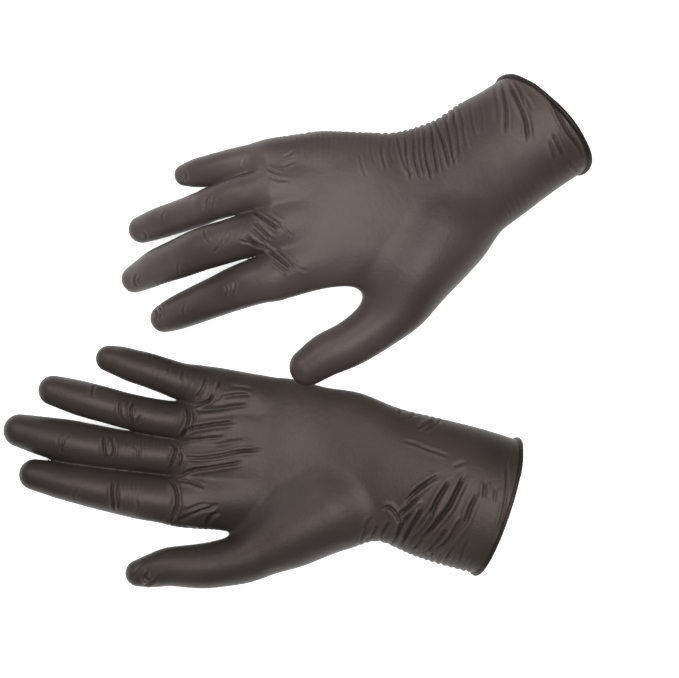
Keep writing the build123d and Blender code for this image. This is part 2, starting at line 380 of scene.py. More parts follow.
def surface(field, origin, cell):
    """Surface nets: a vertex in each grid cell that the surface crosses, a quad across each crossed edge."""
    inside = field < 0
    nx, ny, nz = field.shape
    total = np.zeros((nx - 1, ny - 1, nz - 1), np.int8)
    for dx in (0, 1):
        for dy in (0, 1):
            for dz in (0, 1):
                total += inside[dx:nx - 1 + dx, dy:ny - 1 + dy, dz:nz - 1 + dz]
    cells = np.argwhere((total > 0) & (total < 8))
    number = np.full((nx - 1, ny - 1, nz - 1), -1, np.int64)
    number[tuple(cells.T)] = np.arange(len(cells))
    point_sum = np.zeros((len(cells), 3))
    count = np.zeros(len(cells))
    offsets = [(0, 0, 0), (1, 0, 0), (0, 1, 0), (1, 1, 0), (0, 0, 1), (1, 0, 1), (0, 1, 1), (1, 1, 1)]
    edges = [(a, b) for a in range(8) for b in range(a + 1, 8)
             if sum(abs(p - q) for p, q in zip(offsets[a], offsets[b])) == 1]
    values = [field[cells[:, 0] + o[0], cells[:, 1] + o[1], cells[:, 2] + o[2]] for o in offsets]
    for a, b in edges:
        va, vb = values[a], values[b]
        crossed = (va < 0) != (vb < 0)
        t = va / np.where(crossed, va - vb, 1)
        p = np.array(offsets[a]) + t[:, None] * (np.array(offsets[b]) - np.array(offsets[a]))
        point_sum += np.where(crossed[:, None], p, 0)
        count += crossed
    points = origin + (cells + point_sum / count[:, None]) * cell
    quads = []
    for axis in range(3):
        o = [i for i in range(3) if i != axis]
        sl0 = [slice(1, -1)] * 3
        sl1 = [slice(1, -1)] * 3
        sl0[axis] = slice(0, -1)
        sl1[axis] = slice(1, None)
        a = inside[tuple(sl0)]
        b = inside[tuple(sl1)]
        for flip, mask in ((False, a & ~b), (True, ~a & b)):
            at = np.argwhere(mask)
            for i in o:
                at[:, i] += 1
            ring = []
            for du, dv in ((-1, -1), (0, -1), (0, 0), (-1, 0)):
                c = at.copy()
                c[:, o[0]] += du
                c[:, o[1]] += dv
                ring.append(number[tuple(c.T)])
            q = np.stack(ring, 1)
            if flip != (axis == 1):
                q = q[:, ::-1]
            quads.append(q)
    quads = np.vstack(quads)
    return points, quads[(quads >= 0).all(1)]


def normals_of(points, quads):
    n = np.cross(points[quads[:, 2]] - points[quads[:, 0]], points[quads[:, 3]] - points[quads[:, 1]])
    out = np.zeros_like(points)
    for k in range(4):
        for axis in range(3):
            out[:, axis] += np.bincount(quads[:, k], n[:, axis], len(points))
    return out / np.maximum(np.linalg.norm(out, axis=1, keepdims=True), 1e-12)


def relaxed(points, quads, times, share=0.5):
    a = np.concatenate([quads[:, k] for k in range(4)])
    b = np.concatenate([quads[:, (k + 1) % 4] for k in range(4)])
    degree = np.bincount(a, minlength=len(points)) + np.bincount(b, minlength=len(points))
    for _ in range(times):
        total = np.zeros_like(points)
        for axis in range(3):
            total[:, axis] = (np.bincount(a, points[b, axis], len(points))
                              + np.bincount(b, points[a, axis], len(points)))
        points = points + share * (total / np.maximum(degree, 1)[:, None] - points)
    return points


# ----------------------------------------------------------------------------
# Folds.  A fold is a path in plan on the upper side of a glove, with a width and a height, all in mm.
# ----------------------------------------------------------------------------
def path_distance(xy, path):
    """Distance from points in plan to a path, signed by side, and the share of the way along it."""
    path = smooth_rows(path, 6) if len(path) > 2 else np.array(path, float)
    best = np.full(len(xy), 1e6)
    side = np.zeros(len(xy))
    along = np.zeros(len(xy))
    lengths = np.linalg.norm(np.diff(path, axis=0), axis=1)
    total = lengths.sum()
    run = 0.0
    for a, b, length in zip(path, path[1:], lengths):
        ab = b - a
        raw = ((xy - a) @ ab) / max(length ** 2, 1e-9)
        t = np.clip(raw, 0, 1)
        d = np.linalg.norm(xy - a - t[:, None] * ab, axis=1)
        s = np.sign((xy[:, 0] - a[0]) * ab[1] - (xy[:, 1] - a[1]) * ab[0])
        closer = d < best
        best = np.where(closer, d, best)
        side = np.where(closer, s, side)
        along = np.where(closer, (run + raw * length) / total, along)
        run += length
    return best * side, along


def add_fold(height, p, up, path, width, amount, kind="crease"):
    """Adds one fold to height.  A crease is a valley between two soft ridges, and a ridge is the reverse."""
    fade = 0.22                          # the share of its length over which a fold fades out at each end
    xy = p[:, :2]
    lo = np.min(path, axis=0) - width * 4
    hi = np.max(path, axis=0) + width * 4
    near = ((xy > lo) & (xy < hi)).all(1) & (up > -0.15)
    if not near.any():
        return
    q = xy[near]
    wander = noise(p[near], 9.0, 5) * width * 0.35
    d, along = path_distance(q, path)
    d = (d + wander) / width
    ends = smoothstep(0, fade, along) * smoothstep(1, 1 - fade, along)
    facing = smoothstep(-0.15, 0.25, up[near])
    if kind == "crease":
        profile = -np.exp(-(d / 0.42) ** 2) + 0.55 * np.exp(-((np.abs(d) - 1.0) / 0.62) ** 2)
    else:
        profile = np.exp(-(d / 0.55) ** 2) - 0.45 * np.exp(-((np.abs(d) - 1.15) / 0.55) ** 2)
    height[near] += amount * profile * ends * facing


RIGHT_FOLDS = [
    # short folds across the back of the wrist
    ([(65.6, 99.2), (68.9, 90.2), (73.1, 77.1)], 1.25, 0.75),
    ([(63.7, 97.8), (65.1, 86.9), (67.4, 73.3)], 1.15, 0.75),
    ([(60.4, 96.3), (61.3, 83.2), (64.2, 71.0)], 1.15, 0.7),
    ([(57.6, 95.9), (58.5, 85.5), (60.9, 72.4)], 1.0, 0.45),
    ([(54.8, 94.9), (56.2, 81.8), (59.0, 71.4)], 1.1, 0.65),
    ([(51.0, 94.5), (52.4, 81.8), (54.8, 70.5)], 1.1, 0.6),
    ([(46.8, 94.0), (50.1, 83.2), (52.9, 74.3)], 1.1, 0.55),
    ([(39.7, 94.0), (40.7, 84.6), (43.0, 75.7)], 1.2, 0.45),
    ([(43.5, 94.0), (44.4, 85.5), (46.3, 78.5)], 1.0, 0.25),
    ([(34.5, 93.1), (35.5, 85.5), (37.4, 78.0)], 1.0, 0.22),
    ([(29.4, 84.6), (31.3, 78.5), (33.6, 72.4)], 1.1, 0.18),
    ([(69.8, 102.5), (72.1, 92.6), (75.4, 77.1)], 1.2, 0.5),
    ([(73.6, 104.8), (75.9, 94.9), (77.8, 81.8)], 1.25, 0.4),
    ([(77.3, 106.2), (79.2, 95.9), (81.1, 85.5)], 1.2, 0.3),
    ([(81.5, 107.6), (83.4, 98.7), (85.8, 90.2)], 1.2, 0.22),
    ([(86.2, 110.4), (87.7, 102.0), (88.6, 92.6)], 1.2, 0.18),
    # folds under the top of the cuff
    ([(96.6, 117.5), (98.5, 110.0), (99.4, 100.6), (98.9, 92.1)], 1.5, 0.65),
    ([(99.9, 118.4), (103.2, 110.9), (107.4, 100.6), (109.7, 88.4)], 1.5, 0.95),
    ([(102.2, 118.4), (106.0, 111.9), (107.9, 104.3)], 1.2, 0.6),
    ([(93.3, 115.6), (95.2, 107.2), (95.6, 97.8)], 1.5, 0.3),
    ([(104.1, 116.6), (108.8, 109.0), (111.6, 103.4)], 1.3, 0.35),
    # folds beside the bead
    ([(104.1, 118.4), (111.6, 116.1), (119.6, 109.0), (124.3, 101.0),
      (128.5, 93.1), (133.2, 86.5), (135.6, 80.4)], 1.2, 1.05),
    ([(120.6, 94.0), (123.4, 88.4), (126.7, 81.8)], 1.4, 0.55),
    ([(119.1, 90.2), (121.0, 85.5), (122.4, 79.9)], 1.4, 0.35),
    ([(128.1, 80.8), (131.4, 77.1), (134.7, 75.2)], 1.3, 0.5),
    # the web folds between the ring, middle and index stalls
    ([(-20.9, 57.8), (-15.3, 53.6), (-10.6, 50.3), (-6.8, 47.9)], 1.25, 1.0),
    ([(-19.5, 52.2), (-15.3, 47.5), (-10.6, 43.2)], 1.15, 0.75),
    ([(-21.4, 48.9), (-16.7, 44.6), (-12.0, 41.4)], 1.1, 0.5),
    ([(-24.7, 46.5), (-20.0, 42.3), (-13.4, 39.0), (-7.8, 34.3), (-0.7, 28.7)], 1.35, 0.95),
    ([(-11.0, 33.8), (-7.3, 30.5), (-3.1, 27.7)], 1.15, 0.6),
    ([(-9.2, 39.9), (-4.0, 34.8), (0.7, 30.1)], 1.1, 0.4),
    ([(-26.6, 43.2), (-21.4, 41.8), (-15.3, 39.5)], 1.1, 0.45),
    ([(-8.7, 51.7), (-4.9, 48.4), (-1.6, 44.2)], 1.1, 0.22),
    ([(-13.9, 56.4), (-9.6, 53.1), (-4.9, 50.8)], 1.1, 0.3),
    ([(-2.6, 32.9), (1.6, 30.1), (6.3, 28.2)], 1.2, 0.2),
    # the root of the little stall
    ([(-13.9, 77.5), (-10.6, 75.2), (-6.8, 74.3)], 1.15, 0.65),
    ([(-6.3, 77.5), (-3.5, 79.0), (-0.2, 80.4)], 1.1, 0.35),
    ([(-12.0, 72.8), (-7.8, 71.4), (-2.6, 71.4)], 1.3, 0.25),
    ([(-5.9, 81.8), (-2.6, 83.7), (0.7, 86.0)], 1.1, 0.25),
    # middle joints
    ([(-40.7, 63.4), (-42.5, 60.2), (-41.6, 55.9)], 1.0, 0.5),
    ([(-37.4, 63.9), (-38.8, 60.2), (-38.3, 56.4)], 1.0, 0.4),
    ([(-43.0, 48.4), (-42.1, 45.1), (-41.1, 41.8)], 1.0, 0.35),
    ([(-34.1, 43.7), (-36.4, 40.4), (-39.2, 37.1)], 1.0, 0.5),
    ([(-29.8, 47.0), (-32.7, 43.2), (-36.9, 37.6)], 1.0, 0.35),
    ([(-33.6, 22.6), (-32.2, 19.7), (-32.7, 16.4)], 1.0, 0.35),
    ([(-28.4, 24.0), (-28.4, 20.7), (-29.4, 16.9)], 1.0, 0.4),
    ([(-31.3, 23.0), (-30.3, 20.2), (-30.8, 16.9)], 0.9, 0.3),
    ([(-61.3, 56.9), (-62.7, 54.0), (-62.3, 50.8)], 1.0, 0.25),
    ([(-23.3, 81.8), (-24.7, 79.4), (-24.2, 77.1)], 1.0, 0.22),
    ([(-54.3, 32.9), (-55.2, 30.1), (-54.8, 26.8)], 1.0, 0.18),
    ([(-51.5, 12.7), (-52.4, 9.9), (-51.5, 7.0)], 1.0, 0.15),
    # loose film beyond the nails
    ([(-64.2, 12.2), (-62.7, 9.9), (-63.2, 7.0)], 0.9, 0.45),
    ([(-66.0, 10.8), (-65.1, 8.5), (-65.6, 5.6)], 0.9, 0.35),
    ([(-74.0, 27.7), (-75.4, 24.4), (-74.5, 21.1)], 1.0, 0.4),
    ([(-71.7, 47.5), (-69.8, 45.1), (-70.7, 42.8)], 1.0, 0.35),
    ([(-52.4, 75.2), (-51.0, 73.3), (-51.5, 71.0)], 0.9, 0.25),
]
RIGHT_RIDGES = [
    ([(106.5, 119.8), (114.0, 117.0), (121.5, 110.4),
      (127.1, 102.5), (131.4, 94.9), (136.5, 86.5)], 1.9, 0.7),
]
LEFT_FOLDS = [
    # the folds at the heel and the wrist
    ([(80.6, -65.8), (75.0, -76.1), (68.9, -86.5), (61.8, -94.0), (56.2, -100.1)], 1.9, 1.35),
    ([(73.1, -68.1), (66.5, -79.4), (62.3, -89.3), (54.3, -99.2)], 1.8, 1.1),
    ([(58.5, -77.1), (52.4, -83.2), (47.7, -86.9)], 1.7, 1.05),
    ([(40.2, -83.7), (43.9, -82.2), (48.2, -86.9), (50.1, -92.1)], 1.6, 0.95),
    ([(59.9, -82.2), (54.3, -92.6), (49.6, -100.6)], 1.6, 1.05),
    ([(78.7, -86.0), (73.1, -95.4), (65.6, -102.9)], 1.7, 0.8),
    ([(86.2, -74.3), (82.0, -83.7), (76.4, -93.5), (69.3, -102.0)], 1.8, 0.7),
    ([(89.5, -70.0), (88.6, -78.5)], 1.5, 0.45),
    ([(94.2, -72.8), (93.3, -80.4)], 1.4, 0.3),
    ([(68.4, -66.3), (59.9, -72.4), (51.9, -79.9)], 1.9, 0.6),
    ([(63.2, -69.6), (55.7, -76.1), (50.1, -82.7)], 1.7, 0.55),
    ([(74.0, -63.4), (80.1, -60.6)], 1.8, 0.25),
    ([(65.1, -81.3), (60.4, -88.4), (54.8, -95.4)], 1.5, 0.75),
    ([(54.8, -84.6), (50.5, -90.2), (46.8, -95.9)], 1.5, 0.85),
    ([(50.1, -92.1), (47.2, -96.8), (45.4, -100.1)], 1.3, 0.7),
    ([(44.9, -88.8), (41.6, -93.1), (39.7, -98.2)], 1.4, 0.75),
    ([(39.2, -90.2), (36.9, -94.0), (34.5, -98.2)], 1.3, 0.6),
    ([(72.1, -91.6), (66.0, -99.2), (60.9, -103.9)], 1.5, 0.7),
    ([(60.9, -96.8), (55.7, -102.0)], 1.3, 0.6),
    ([(67.9, -99.6), (63.2, -105.3)], 1.3, 0.5),
    ([(75.0, -99.6), (70.7, -106.7)], 1.4, 0.4),
    ([(81.1, -97.8), (76.8, -107.2)], 1.5, 0.35),
    ([(53.8, -97.8), (50.1, -102.5)], 1.2, 0.5),
    ([(36.0, -86.5), (33.1, -91.6), (30.8, -96.8)], 1.6, 0.3),
    # the little finger's side of the wrist
    ([(57.1, -45.6), (61.3, -43.2), (66.0, -40.9)], 1.2, 0.7),
    ([(60.4, -46.5), (64.2, -44.2), (68.4, -41.4)], 1.2, 0.6),
    ([(52.4, -41.4), (56.6, -38.5)], 1.2, 0.45),
    ([(49.6, -50.8), (60.9, -54.0), (73.1, -58.8)], 1.4, 0.28),
    ([(48.2, -39.0), (51.5, -36.7)], 1.1, 0.35),
    # beside the bead
    ([(99.4, -57.8), (99.4, -69.6), (97.5, -84.6), (93.8, -97.8)], 1.4, 0.35),
    ([(102.2, -54.5), (101.3, -64.9)], 1.2, 0.25),
    # root creases
    ([(-51.0, -33.4), (-50.1, -40.4), (-52.4, -46.1), (-54.8, -50.8)], 1.3, 0.95),
    ([(-48.6, -35.7), (-47.2, -41.4), (-49.6, -46.5)], 1.2, 0.5),
    ([(-55.2, -50.8), (-49.1, -45.6), (-41.1, -43.7), (-27.0, -42.3)], 1.5, 0.85),
    ([(-54.3, -51.7), (-44.9, -50.3), (-32.7, -49.3)], 1.5, 0.4),
    ([(-58.5, -51.2), (-56.2, -55.5), (-58.0, -60.6), (-59.9, -65.8)], 1.2, 0.9),
    ([(-55.7, -55.0), (-53.8, -59.2), (-55.7, -64.9)], 1.1, 0.6),
    ([(-54.8, -58.8), (-44.9, -59.2), (-29.8, -56.9), (-13.9, -54.5)], 1.35, 0.6),
    ([(-52.9, -60.6), (-42.1, -61.6), (-24.7, -58.8)], 1.3, 0.35),
    ([(-56.2, -69.1), (-49.1, -65.3), (-39.2, -63.4), (-23.3, -60.6)], 1.5, 0.85),
    ([(-56.2, -70.0), (-49.1, -70.5), (-42.1, -72.8)], 1.4, 0.5),
    ([(-59.5, -68.6), (-56.6, -73.8), (-56.2, -80.4), (-59.0, -88.4)], 1.3, 0.95),
    ([(-54.8, -79.0), (-56.2, -84.1), (-58.5, -89.8)], 1.2, 0.6),
    ([(-57.1, -89.8), (-48.6, -86.0), (-36.4, -81.3)], 1.6, 0.5),
    ([(-42.1, -91.6), (-39.7, -86.9), (-35.5, -84.1)], 1.8, 0.55),
    ([(-52.9, -85.5), (-44.9, -81.8), (-35.5, -80.8)], 1.6, 0.3),
    ([(-52.4, -91.6), (-43.9, -92.6)], 1.4, 0.3),
    ([(-34.1, -21.1), (-38.3, -30.1), (-44.4, -34.3)], 1.25, 0.8),
    ([(-36.9, -24.0), (-40.2, -31.5)], 1.1, 0.6),
    ([(-34.1, -26.3), (-37.8, -32.0)], 1.1, 0.5),
    ([(-41.6, -19.7), (-43.5, -26.3), (-47.2, -32.0)], 1.6, 0.45),
    ([(-48.2, -34.8), (-43.9, -33.8), (-38.8, -31.5)], 1.2, 0.55),
    ([(-47.2, -37.1), (-35.5, -36.2), (-20.4, -34.8)], 1.9, 0.5),
    ([(-35.0, -30.5), (-20.4, -29.1)], 1.9, 0.4),
    ([(-31.3, -25.8), (-19.5, -26.3)], 1.8, 0.25),
    ([(-39.2, -53.1), (-23.3, -51.2)], 1.7, 0.2),
    # middle creases
    ([(-74.5, -32.0), (-77.3, -36.7), (-75.9, -44.6)], 1.15, 0.85),
    ([(-81.5, -31.5), (-82.5, -36.7), (-81.5, -41.8)], 1.1, 0.6),
    ([(-77.8, -32.0), (-79.2, -36.7), (-78.3, -42.3)], 1.0, 0.45),
    ([(-72.6, -38.5), (-75.0, -43.7)], 1.0, 0.5),
    ([(-89.5, -47.9), (-90.0, -54.0), (-88.6, -60.6)], 1.2, 0.75),
    ([(-86.2, -48.9), (-85.3, -55.0), (-86.2, -59.7)], 1.1, 0.55),
    ([(-85.3, -68.6), (-86.2, -76.1), (-84.8, -84.6)], 1.2, 0.85),
    ([(-82.5, -68.6), (-83.4, -76.1), (-82.5, -84.6)], 1.1, 0.55),
    ([(-107.9, -48.4), (-109.7, -54.0), (-108.8, -57.8)], 1.2, 0.35),
    ([(-111.6, -50.8), (-111.2, -56.4)], 1.1, 0.22),
    ([(-103.2, -73.3), (-104.1, -79.0)], 1.2, 0.22),
    ([(-75.0, -79.0), (-73.6, -83.7)], 1.0, 0.35),
    ([(-94.2, -24.9), (-95.6, -30.1)], 1.2, 0.35),
    ([(-74.5, -54.5), (-74.0, -61.6)], 1.0, 0.35),
    ([(-67.4, -8.5), (-68.4, -14.1)], 1.1, 0.2),
    ([(-59.0, -13.2), (-59.9, -19.7)], 1.2, 0.22),
    ([(-52.4, -16.0), (-53.8, -23.5)], 1.3, 0.28),
    # the thumb's tip and side
    ([(-69.3, -112.3), (-70.7, -115.6), (-67.4, -116.6)], 1.1, 0.65),
    ([(-63.7, -114.7), (-67.4, -117.5), (-71.7, -119.4)], 1.2, 0.45),
    ([(-46.8, -99.2), (-45.8, -103.9)], 1.2, 0.22),
    ([(-71.7, -108.6), (-75.0, -112.3), (-77.3, -116.1)], 1.2, 0.35),
]
# Close, fine folds across a stall: from and to in plan, half length across, spacing and height
FINE = dict(
    right=[
        ([(2.1, 85.5), (70.3, 90.2)], 7, 2.6, 0.16), ([(-34.5, 52.6), (-21.4, 47.0)], 6, 2.2, 0.2),
    ],
    left=[
        ([(-72.1, -38.5), (-51.5, -43.2)], 8, 1.7, 0.34), ([(-84.4, -55.5), (-59.9, -59.2)], 9, 1.7, 0.32),
        ([(-81.5, -77.5), (-59.9, -79.9)], 9, 2.0, 0.24), ([(-68.4, -20.2), (-42.5, -28.2)], 7, 3.0, 0.22),
    ],
)


def edge_pleats(height, p, ends, reach, spacing, amount, seed, lean):
    """Small pleats that run up over a side of a glove and serrate its outline between the two ends."""
    a, b = np.array(ends[0]), np.array(ends[1])
    length = np.linalg.norm(b - a)
    along = (b - a) / length
    across = np.array([-along[1], along[0]])
    q = p[:, :2] - a
    s = q @ along
    d = q @ across
    near = (s > -3) & (s < length + 3) & (np.abs(d) < reach)
    if not near.any():
        return
    s, d, pp = s[near], d[near], p[near]
    warp = noise(pp, spacing * 4, seed) * spacing * 0.8 + d * lean
    phase = (s + warp) / spacing
    k = np.floor(phase + 0.5)
    number = k.astype(np.int64)
    none = np.zeros_like(number)
    rise = 0.35 + 0.65 * (0.5 + 0.5 * hashed(number, none, none, seed))
    wave = -np.exp(-((phase - k) / 0.21) ** 2) + 0.35
    fade = smoothstep(-3, 3, s) * smoothstep(length + 3, length - 3, s)
    fade = fade * smoothstep(reach, reach * 0.35, np.abs(d))
    height[near] += amount * rise * wave * fade


def fine_folds(height, p, up, ends, half, spacing, amount, seed):
    """Patches of close folds across a stall."""
    a, b = np.array(ends[0]), np.array(ends[1])
    length = np.linalg.norm(b - a)
    along = (b - a) / length
    across = np.array([-along[1], along[0]])
    q = p[:, :2] - a
    s = q @ along
    d = q @ across
    near = (s > -2) & (s < length + 2) & (np.abs(d) < half * 1.3) & (up > 0)
    if not near.any():
        return
    s, d, pp = s[near], d[near], p[near]
    phase = (s + 0.05 * d * d / half + noise(pp, spacing * 5, seed) * spacing * 0.7) / spacing
    patch = 0.35 + 0.65 * smoothstep(-0.3, 0.6, noise(pp, 6.0, seed + 3))
    wave = np.abs(np.sin(math.pi * phase)) ** 0.7 - 0.6
    fade = smoothstep(-2, 3, s) * smoothstep(length + 2, length - 3, s)
    fade = fade * smoothstep(half * 1.3, half * 0.7, np.abs(d))
    height[near] += amount * wave * patch * fade


def shape_film(side, p, n):
    """The height of the film's folds over its smooth surface, in mm."""
    up = n[:, 2]
    h = np.zeros(len(p))
    solid = p
    # folds are placed as they appear from EYE
    reach = ((EYE[2] - PLAN_HEIGHT) / (EYE[2] - p[:, 2]))[:, None]
    p = np.hstack([np.array(EYE[:2]) + (p[:, :2] - np.array(EYE[:2])) * reach, p[:, 2:]])
    if side == "right":
        for path, width, amount in RIGHT_FOLDS:
            add_fold(h, p, up, path, width, amount * FOLD_STRENGTH)
        for path, width, amount in RIGHT_RIDGES:
            add_fold(h, p, up, path, width, amount, kind="ridge")
        edge_pleats(h, p, [(36.0, 94.5), (78.3, 106.2)], 11, 3.0, 0.85, 3, 0.05)
        edge_pleats(h, p, [(-6.3, 92.6), (36.0, 94.5)], 6, 2.7, 0.40, 4, 0.35)
        edge_pleats(h, p, [(96.1, 55.0), (124.3, 77.1)], 6, 3.4, 0.22, 6, -0.2)
    else:
        for path, width, amount in LEFT_FOLDS:
            add_fold(h, p, up, path, width, amount * FOLD_STRENGTH)
        edge_pleats(h, p, [(29.4, -100.1), (83.0, -112.8)], 9, 3.1, 0.80, 7, -0.35)
        edge_pleats(h, p, [(46.8, -36.7), (70.3, -43.2)], 5, 3.6, 0.40, 8, 0.4)
        edge_pleats(h, p, [(-61.3, -90.2), (-37.8, -95.9)], 5, 2.8, 0.35, 9, 0.0)
    for k, (ends, half, spacing, amount) in enumerate(FINE[side]):
        fine_folds(h, p, up, ends, half, spacing, amount, 31 + k)
    # slack film: slow swells everywhere, and a little crumple
    h += 0.16 * fbm(solid, 26, 61 if side == "right" else 62, 2)
    h += 0.05 * fbm(solid, 7, 63 if side == "right" else 64, 2)
    return h


# ----------------------------------------------------------------------------
# Cutting a glove into its pieces
# ----------------------------------------------------------------------------
def crease_frame(side, name):
    """The root and the middle crease of a stall: the middle of each, and the way the stall runs there."""
    glove = GLOVES[side]
    root, middle = (np.array(c, float) for c in CREASES[side][name])
    line = digit_line(glove["digits"][name])[:, :3]
    out = []
    for c in (root, middle):
        k = int(np.argmin(np.linalg.norm(line - c, axis=1)))
        k = min(max(k, 1), len(line) - 2)
        out.append((c, unit(line[k - 1] - line[k + 1])))
    return out


def piece_labels(side, p):
    """The piece each point belongs to: 0 the hand, 1 the cuff, then a base and a tip for each digit."""
    glove = GLOVES[side]
    label = np.zeros(len(p), np.int64)
    (wx, wy, _), heading = glove["wrist"]
    w = np.array([math.cos(math.radians(heading)), math.sin(math.radians(heading))])
    label[(p[:, :2] - np.array([wx, wy])) @ w > WRIST_CUT] = 1
    names = list(glove["digits"])
    distances = []
    for name in names:
        d = line_distance(digit_line(glove["digits"][name]), p[:, 0], p[:, 1], p[:, 2])
        distances.append(np.abs(d))
    nearest = np.argmin(np.array(distances), axis=0)
    for k, name in enumerate(names):
        (root, d1), (middle, d2) = crease_frame(side, name)
        z = ZONES[side][name]
        mine = nearest == k
        s1 = (p - root) @ d1
        s2 = (p - middle) @ d2
        base_start = -z[0] - BASE_LEAD
        seam = 0.5 * (z[1] + (np.linalg.norm(middle - root) - z[2]))
        close = mine & (np.linalg.norm(p - middle, axis=1) < NEAR_MIDDLE) & (label == 0)
        base = close & (s1 > base_start) & (np.linalg.norm(p - root, axis=1) < NEAR_ROOT)
        label[base] = 2 + 2 * k
        label[base & (s1 > seam) & (s2 > -z[2] - TIP_LEAD)] = 3 + 2 * k
    return label, names


def build_glove(side):
    """The whole film of a glove with its folds, its rim, and the mouth's middle and direction."""
    glove = GLOVES[side]
    rows = [np.array(s, float) for s in glove["digits"].values()]
    hand = np.array(glove["hand"], float)
    lows = [r[:, :3].min(0) - r[:, 3].max() for r in rows]
    highs = [r[:, :3].max(0) + r[:, 3].max() for r in rows]
    lo = np.min(lows + [[hand[:, 0].min() - 20, hand[:, 1].min() - 45, -1]], axis=0) - 3
    hi = np.max(highs + [[hand[-1, 0] + 6, hand[:, 1].max() + 40, 60]], axis=0) + 3
    (mx, my, mz), mh, lean = glove["mouth"]
    mh, lean = math.radians(mh), math.radians(lean)
    mouth_out = np.array([math.cos(mh) * math.cos(lean), math.sin(mh) * math.cos(lean), -math.sin(lean)])
    mouth_at = np.array([mx, my, mz], float)
    gx, gy, gz = (np.arange(a, b, CELL) for a, b in zip(lo, hi))
    field = film_field(glove, gx, gy, gz)
    points, quads = surface(field, np.array([gx[0], gy[0], gz[0]]), CELL)
    del field
    points = relaxed(points, quads, 3, 0.5)
    normal = normals_of(points, quads)
    if ((points[:, 0] - points[:, 0].mean()) * normal[:, 0]).mean() < 0:
        quads = quads[:, ::-1]
        normal = -normal
    height = shape_film(side, points, normal)
    smooth_points = points.copy()
    points = points + normal * height[:, None]
    low = points[:, 2] < TABLE_GAP
    sink = TABLE_GAP - 0.05              # the most that low film goes below TABLE_GAP
    flattened = TABLE_GAP - sink * np.tanh((TABLE_GAP - points[:, 2]) / sink)
    points[:, 2] = np.where(low, flattened, points[:, 2])
    # the film is cut off at the mouth, inside the bead
    beyond = (smooth_points - mouth_at) @ mouth_out
    keep = (beyond[quads] < CUT_BEYOND).all(1)
    rim = rim_points(points, quads, beyond)
    quads = quads[keep]
    used = np.unique(quads)
    renumber = np.full(len(points), -1)
    renumber[used] = np.arange(len(used))
    points, smooth_points, height = points[used], smooth_points[used], height[used]
    quads = renumber[quads]
    normal = normals_of(points, quads)
    return points, quads, normal, height, smooth_points, rim, mouth_at, mouth_out


def rim_points(points, quads, beyond):
    """The points where the mesh's edges cross the mouth's plane, in no order."""
    a = np.concatenate([quads[:, k] for k in range(4)])
    b = np.concatenate([quads[:, (k + 1) % 4] for k in range(4)])
    crossed = (beyond[a] < 0) & (beyond[b] >= 0)
    a, b = a[crossed], b[crossed]
    t = beyond[a] / (beyond[a] - beyond[b])
    return points[a] + t[:, None] * (points[b] - points[a])


def ordered_rim(rim, at, out, count):
    """The rim as a closed line, evenly spaced in angle round the mouth's middle."""
    across = unit(np.cross([0, 0, 1.0], out))
    up = np.cross(out, across)
    q = rim - at
    angle = np.arctan2(q @ up, q @ across)
    order = np.argsort(angle)
    angle, q = angle[order], q[order]
    bins = np.linspace(-math.pi, math.pi, count, endpoint=False)
    line = []
    wide = 2 * math.pi / count
    for b in bins:
        gap = np.abs((angle - b + math.pi) % (2 * math.pi) - math.pi)
        w = np.exp(-(gap / (0.8 * wide)) ** 2)
        line.append(at + (q * w[:, None]).sum(0) / w.sum())
    return np.array(line)


def tube(line, radius_at, sides):
    """A closed tube round a closed line, with radius_at(k, angle) in mm."""
    n = len(line)
    points = []
    for k in range(n):
        along = unit(line[(k + 1) % n] - line[k - 1])
        centre = line.mean(0)
        outward = line[k] - centre
        outward = unit(outward - (outward @ along) * along)
        third = np.cross(along, outward)
        for j in range(sides):
            a = 2 * math.pi * j / sides
            points.append(line[k] + radius_at(k, a) * (math.cos(a) * outward + math.sin(a) * third))
    quads = []
    for k in range(n):
        for j in range(sides):
            a, b = k * sides + j, k * sides + (j + 1) % sides
            c, d = ((k + 1) % n) * sides + (j + 1) % sides, ((k + 1) % n) * sides + j
            quads.append((a, b, c, d))
    return np.array(points), np.array(quads)


def make_object(name, points, faces, normals, attributes, material):
    """A mesh of four-sided faces, from points in mm, with values on its points for the material."""
    mesh = bpy.data.meshes.new(name)
    mesh.vertices.add(len(points))
    mesh.vertices.foreach_set("co", (points * MM).astype(np.float32).ravel())
    mesh.loops.add(faces.size)
    mesh.loops.foreach_set("vertex_index", faces.astype(np.int32).ravel())
    mesh.polygons.add(len(faces))
    mesh.polygons.foreach_set("loop_start", np.arange(0, faces.size, 4, dtype=np.int32))
    mesh.update(calc_edges=True)
    mesh.polygons.foreach_set("use_smooth", np.ones(len(faces), bool))
    for key, values in attributes.items():
        if values.ndim == 2:
            a = mesh.attributes.new(key, "FLOAT_VECTOR", "POINT")
            a.data.foreach_set("vector", values.astype(np.float32).ravel())
        else:
            a = mesh.attributes.new(key, "FLOAT", "POINT")
            a.data.foreach_set("value", values.astype(np.float32))
    mesh.normals_split_custom_set_from_vertices(normals.astype(np.float32))
    ob = bpy.data.objects.new(name, mesh)
    bpy.context.scene.collection.objects.link(ob)
    mesh.materials.append(material)
    return ob


